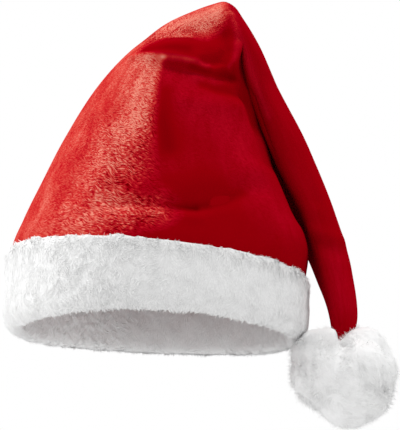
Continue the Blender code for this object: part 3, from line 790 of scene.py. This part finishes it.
band_dice = np.random.default_rng(12)
cell_areas = np.linalg.norm(
    np.cross(np.roll(band_grid, -1, axis=0) - band_grid, np.roll(band_grid, -1, axis=1) - band_grid), axis=-1
)
cell_areas[:, skin_count - lip_rows :] = 0
cell_areas[:, :lip_rows] = 0
inside = (band_normals[..., :2] * band_grid[..., :2]).sum(axis=-1) < 0
cell_areas[inside] *= worn_inside
cells, shares = scatter(cell_areas, band_tuft_count, band_dice)
roots = on_grid(band_grid, cells, shares)
outs = unit(on_grid(band_normals, cells, shares))
downs = np.roll(band_grid, -1, axis=1) - band_grid
downs = unit(on_grid(downs, cells, shares))
asides = np.cross(downs, outs)
tangled = ruffle_share(roots, outs)
on_top = np.exp(-((cells[:, 1] / top_spread) ** 2))
on_foot = np.exp(-(((cells[:, 1] - foot_row) / foot_spread) ** 2))
loose = loose_turn + tangled_turn * tangled
swirl = swirl_turn * soft_noise(roots, swirl_size, 21) + loose * band_dice.normal(size=band_tuft_count)
lie = np.cos(swirl)[:, None] * downs + np.sin(swirl)[:, None] * asides
lengths = varied(tuft_length, 0.25, 0.4, 1.6, band_dice, band_tuft_count)
lengths = (lengths * (1 - shorter_on_top * on_top))[:, None]
lifts = least_lift + tangled_lift * tangled + tangled_lift * soft_noise(roots, lift_size, 22) * tangled
lifts = lifts + top_lift * on_top + foot_lift * on_foot
ways = lengths * (lie * np.cos(lifts)[:, None] + outs * np.sin(lifts)[:, None])
widths = varied(tuft_width, 0.3, 0.4, 1.8, band_dice, band_tuft_count)
heights = least_height + tangled_height * tangled
sunk = roots - (least_sunk + tangled_sunk * tangled)[:, None] * outs
# The tufts' colour gets the same painted light on the left.
band_fur = add_locks(
    "band_fur", sunk, ways, 0 * ways, outs, widths, heights, 1, white_band_fur, painted_light_on_left(roots)
)

# The pompom is a ball of long soft fur tied to the tail's point, wide above and narrower below, with a dent
# where the tail enters it. Its fur lies in soft clumps, each a round lump about a place off the middle.
pompom_centre = np.array([0.1215, -0.026, -0.0248])
Clump = namedtuple("Clump", "x y z radius")
clumps = {
    "right_top": Clump(0.0145, 0, 0.0150, 0.0182),
    "left_top": Clump(-0.0170, 0, 0.0125, 0.0166),
    "left": Clump(-0.0140, 0, -0.0020, 0.0198),
    "low_left": Clump(-0.0110, 0, -0.0110, 0.0140),
    "foot": Clump(0.0045, 0, -0.0168, 0.0200),
    "low_right": Clump(0.0150, 0, -0.0115, 0.0205),
    "right": Clump(0.0185, 0, 0.0020, 0.0195),
    "tuft": Clump(-0.0098, -0.0060, 0.0240, 0.0064),
    "front": Clump(-0.0030, -0.0150, -0.0062, 0.0190),
    "front_right": Clump(0.0110, -0.0120, 0.0010, 0.0205),
    "front_left": Clump(-0.0110, -0.0120, 0.0040, 0.0170),
    "front_low": Clump(0.0050, -0.0120, -0.0120, 0.0188),
    "back": Clump(-0.0040, 0.0150, 0, 0.0190),
    "back_right": Clump(0.0090, 0.0130, 0.0060, 0.0180),
    "back_left": Clump(-0.0100, 0.0120, 0.0060, 0.0175),
    "back_low": Clump(0.0020, 0.0120, -0.0110, 0.0170),
    "back_top": Clump(0.0020, 0.0120, 0.0120, 0.0160),
}
clump_softness = 0.0012
outline_roughness, outline_size, outline_shift = 0.022, 0.24, 9.0


def pompom_shape(directions):
    """Points of the pompom's outline: in each direction the soft maximum of how far its clumps reach."""
    table = np.array(list(clumps.values()))
    along = directions @ table[:, :3].T
    inside = along**2 - (table[:, :3] ** 2).sum(axis=1) + table[:, 3] ** 2
    reach = np.where(inside > 0, along + np.sqrt(np.maximum(inside, 0)), 0)
    soft = clump_softness * np.log(np.exp(reach / clump_softness).sum(axis=-1, keepdims=True))
    rough = 1 + outline_roughness * soft_noise(directions + outline_shift, outline_size, 31)[..., None]
    return pompom_centre + directions * soft * rough


# Light grey at the root for painted shade among the hairs, near white at the tip.
white_pompom_fur = fur_material("white_fur_pompom", (0.86, 0.86, 0.86), (0.95, 0.95, 0.948))
ball_rings, ball_round = 150, 300
ring_angles = np.linspace(0, np.pi, ball_rings + 2)[1:-1]
round_angles = np.linspace(0, 2 * np.pi, ball_round, endpoint=False)
flat = np.sin(ring_angles)[:, None]
ball = np.stack([
    flat * np.cos(round_angles),
    flat * np.sin(round_angles),
    -np.cos(ring_angles)[:, None] * np.ones(ball_round),
], axis=-1)
ball_poles = np.array([[0, 0, -1.0], [0, 0, 1.0]])
# The ball's colour sits near the root's: painted shade under the hairs.
core_share, core_along = 0.95, 0.3
fluffs = [Layer(0.0005, 0.005, 33), Layer(0.0003, 0.0025, 34)]
core_points = np.concatenate([pompom_shape(ball).reshape(-1, 3), pompom_shape(ball_poles)])
core_points = pompom_centre + core_share * (core_points - pompom_centre)
fluff = layered_noise(core_points, fluffs)
core_points = core_points + fluff[:, None] * unit(core_points - pompom_centre)
bottom_fan = end_fan(0, ball_round, len(core_points) - 2, True)
top_fan = end_fan((ball_rings - 1) * ball_round, ball_round, len(core_points) - 1, False)
ball_faces = ring_faces(ball_rings, ball_round).tolist() + bottom_fan.tolist() + top_fan.tolist()
pompom = add_piece("pompom_ball", core_points, ball_faces, white_pompom_fur)
set_points(pompom, "along", np.full(len(core_points), core_along))
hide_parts("pompom")

# The pompom's hairs start just under its outline, lie over along slow swirls with a pull downwards, and
# curl in.
hair_count = 19000
root_share = 0.93
hair_swirl_size, hair_swirl_shift = 0.6, 3.0
pull_down = np.array([0, 0, -0.25])
stand_share, lie_share, scatter_share = 0.5, 0.9, 0.45
bend_along, bend_in, bend_scatter = 0.35, 0.30, 0.15
hair_length, hair_width, hair_height = 0.0050, 0.00038, 0.4
hair_dice = np.random.default_rng(5)
directions = unit(hair_dice.normal(size=(hair_count, 3)))
tips = pompom_shape(directions)
outs = unit(tips - pompom_centre)
roots = pompom_centre + root_share * (tips - pompom_centre)
swirl_places = directions + hair_swirl_shift
swirl_axis = [soft_noise(swirl_places, hair_swirl_size, seed) for seed in (41, 42, 43)]
swirl_axis = unit(np.stack(swirl_axis, axis=-1))
lie = unit(np.cross(outs, swirl_axis) + pull_down)
lie = unit(lie - (lie * outs).sum(axis=-1, keepdims=True) * outs)
lengths = varied(hair_length, 0.25, 0.5, 1.6, hair_dice, (hair_count, 1))
scattered = scatter_share * hair_dice.normal(size=(hair_count, 3))
ways = lengths * unit(stand_share * outs + lie_share * lie + scattered)
bends = lengths * (bend_along * lie - bend_in * outs + bend_scatter * hair_dice.normal(size=(hair_count, 3)))
widths = varied(hair_width, 0.3, 0.4, 1.8, hair_dice, hair_count)
heights = np.full(hair_count, hair_height)
pompom_fur = add_locks("pompom_fur", roots, ways, bends, outs, widths, heights, 2, white_pompom_fur)

# A pale floor well below the hat, a white background, and four large soft lights: one from the left, one from
# above, and weaker ones from the right and the front.
floor_height = -0.75
bpy.ops.mesh.primitive_circle_add(vertices=96, radius=4.0, fill_type="NGON", location=(0, 0, floor_height))
floor = bpy.context.active_object
floor.name = "studio_floor"
floor_paint, _, floor_shader = start_material("studio_floor")
floor_shader.inputs["Base Color"].default_value = (0.80, 0.80, 0.80, 1)
floor_shader.inputs["Roughness"].default_value = 0.9
floor.data.materials.append(floor_paint)

world = bpy.data.worlds.new("studio")
bpy.context.scene.world = world
world.use_nodes = True
sky = world.node_tree
fill = sky.nodes["Background"]
fill.inputs["Color"].default_value = (1, 1, 1, 1)
fill.inputs["Strength"].default_value = 0.6
seen = add_node(sky, "Background", Color=(1, 1, 1, 1), Strength=1.0)
camera_ray = sky.nodes.new("ShaderNodeLightPath").outputs["Is Camera Ray"]
shown = add_node(sky, "MixShader", i0=camera_ray, i1=fill.outputs[0], i2=seen.outputs[0])
sky.links.new(shown.outputs[0], sky.nodes["World Output"].inputs["Surface"])

Lamp = namedtuple("Lamp", "place target size power")
lamps = {
    "key": Lamp((-1.6, -0.15, 0.4), (0, 0, 0.05), 1.1, 13.0),
    "top": Lamp((0.0, -0.4, 1.9), (0, 0, 0.1), 1.2, 21.0),
    "right_fill": Lamp((1.6, -0.5, 0.1), (0.05, 0, 0.0), 1.0, 4.5),
    "front_fill": Lamp((0.0, -1.9, -0.3), (0, 0, 0), 1.0, 3.5),
}
for name, lamp in lamps.items():
    light = bpy.data.lights.new(name, "AREA")
    light.shape = "DISK"
    light.size = lamp.size
    light.energy = lamp.power
    stand = bpy.data.objects.new(name, light)
    stand.location = lamp.place
    stand.rotation_euler = (Vector(lamp.place) - Vector(lamp.target)).to_track_quat("Z", "Y").to_euler()
    bpy.context.scene.collection.objects.link(stand)

# The camera stands in front of the hat and a little below its rim, and looks up at it.
camera_place = Vector((0, -0.9882, -0.153))
pitch, yaw, roll = np.radians(13.44), np.radians(1.56), np.radians(2.2)
lens = bpy.data.cameras.new("camera")
lens.lens = 124.95
lens.sensor_fit = "AUTO"
camera = bpy.data.objects.new("camera", lens)
bpy.context.scene.collection.objects.link(camera)
ahead = Vector((np.sin(yaw) * np.cos(pitch), np.cos(yaw) * np.cos(pitch), np.sin(pitch)))
level = ahead.cross(Vector((0, 0, 1))).normalized()
upright = level.cross(ahead)
right = level * np.cos(roll) + upright * np.sin(roll)
top = upright * np.cos(roll) - level * np.sin(roll)
camera.matrix_world = Matrix.Translation(camera_place) @ Matrix((right, top, -ahead)).transposed().to_4x4()
bpy.context.scene.camera = camera
bpy.context.scene.view_settings.view_transform = "Standard"
